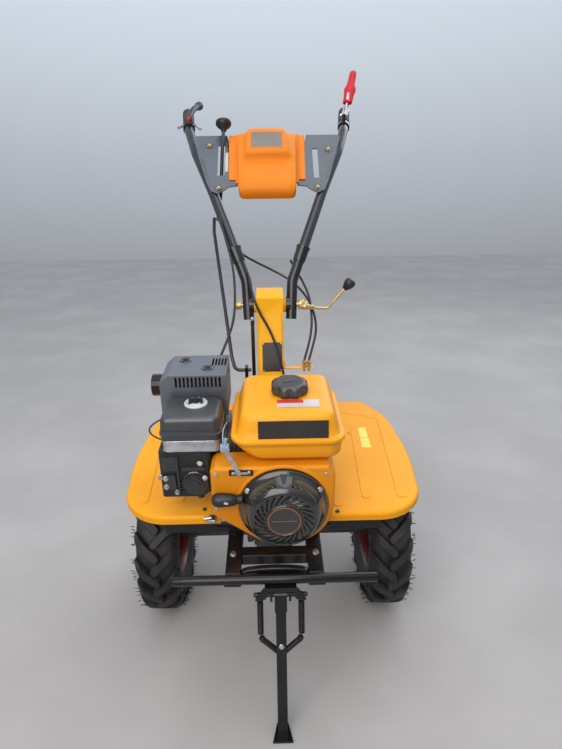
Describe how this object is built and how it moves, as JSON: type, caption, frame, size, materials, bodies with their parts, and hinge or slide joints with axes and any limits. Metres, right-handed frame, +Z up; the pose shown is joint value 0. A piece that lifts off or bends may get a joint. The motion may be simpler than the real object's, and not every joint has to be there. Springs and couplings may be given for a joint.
{
  "type": "hand tractor",
  "caption": "Two-wheeled walking hand tractor: petrol engine on a twin-rail frame, lugged tyres under wide fenders, tilting handlebars, folding front stand and rear hitch socket.",
  "frame": {"origin": "on the ground under the middle of the machine's overall length and width, as it parks", "axes": "+Z up, front (bumper, stand, engine) towards -Y, handlebars towards +Y, +X the machine's left; the wheel axle lies along X and the machine stands nose down by 5 degrees"},
  "size_m": [0.7002, 1.106, 1.4212],
  "materials": {
    "black_paint": "semi-gloss black enamel",
    "black_plastic": "moulded black plastic",
    "black_rubber": "moulded black rubber",
    "bright_steel": "bright zinc-plated steel",
    "cable_sheath": "black cable sheath",
    "cast_aluminium": "die-cast aluminium",
    "cast_case": "cast case, painted dark grey",
    "grey_plate": "dark grey powder coat",
    "red_grip": "moulded red grip",
    "red_rim": "dark red enamel",
    "tyre_rubber": "black tyre rubber, dusty",
    "yellow_paint": "glossy yellow-orange enamel, scuffed",
    "zinc": "yellow-passivated zinc plate"
  },
  "bodies": {
    "root": {"air_cleaner": "black_plastic", "air_cleaner_base": "bright_steel", "air_cleaner_nut": "bright_steel", "bumper_bar": "black_paint", "cable_brake": "cable_sheath", "cable_clutch": "cable_sheath", "cable_shift": "cable_sheath", "cable_stop": "zinc", "cable_throttle": "cable_sheath", "clamp_knob": "black_plastic", "clamp_lever": "zinc", "clutch_housing": "cast_case", "cross_member": "black_paint", "engine_block": "cast_aluminium", "exhaust_outlet": "black_paint", "fan_shroud": "yellow_paint", "fender_left": "yellow_paint", "fender_right": "yellow_paint", "fender_stays_front": "black_paint", "fender_stays_rear": "black_paint", "front_band": "black_paint", "fuel_cap": "black_plastic", "fuel_tank": "yellow_paint", "gearbox": "cast_case", "handle_column": "yellow_paint", "hitch_socket": "cast_case", "intake_housing": "black_plastic", "muffler": "black_paint", "muffler_guard": "black_paint", "pivot_bolt": "bright_steel", "pull_handle": "black_plastic", "rail_left": "black_paint", "rail_right": "black_paint", "recoil_cover": "black_paint", "rocker_cover": "black_paint", "selector_rod": "black_paint", "shift_arm": "black_paint", "stand_bracket": "black_paint", "throttle_lever": "bright_steel"},
    "left_wheel": {"hub_left": "bright_steel", "rim_left": "red_rim", "tyre_left": "tyre_rubber"},
    "right_wheel": {"hub_right": "bright_steel", "rim_right": "red_rim", "tyre_right": "tyre_rubber"},
    "stand": {"stand_leg": "black_paint", "stand_spring_left": "black_paint", "stand_spring_right": "black_paint"},
    "handlebar": {"bracket_plate_left": "grey_plate", "bracket_plate_right": "grey_plate", "clutch_lever": "red_grip", "dash_box": "yellow_paint", "gear_lever": "black_plastic", "grip_left": "black_rubber", "grip_right": "black_rubber", "handlebar_left": "black_paint", "handlebar_right": "black_paint", "throttle_grip": "black_rubber"},
    "shift_rod": {"shift_rod": "zinc"}
  },
  "joints": [
    {"name": "left_wheel_spin", "type": "hinge", "parent": "root", "child": "left_wheel", "pos_m": [0.2885, -0.08572, 0.2], "axis": [1, 0, 0], "continuous": true},
    {"name": "right_wheel_spin", "type": "hinge", "parent": "root", "child": "right_wheel", "pos_m": [-0.2885, -0.08572, 0.2], "axis": [1, 0, 0], "continuous": true},
    {"name": "stand_fold", "type": "hinge", "parent": "root", "child": "stand", "pos_m": [0.011, -0.46864, 0.30854], "axis": [1, 0, 0], "range_deg": [0, 85]},
    {"name": "handlebar_tilt", "type": "hinge", "parent": "root", "child": "handlebar", "pos_m": [0, 0.01228, 0.80083], "axis": [1, 0, 0], "range_deg": [-18, 9], "deforming": ["cable_brake", "cable_clutch", "cable_shift", "cable_throttle"]},
    {"name": "shift_rod_swing", "type": "hinge", "parent": "root", "child": "shift_rod", "pos_m": [-0.062, -0.04438, 0.6453], "axis": [1, 0, 0], "range_deg": [-12, 6]}
  ],
  "couplings": [
    {"joint": "shift_rod_swing", "follows": "handlebar_tilt", "ratio": 0.622}
  ]
}
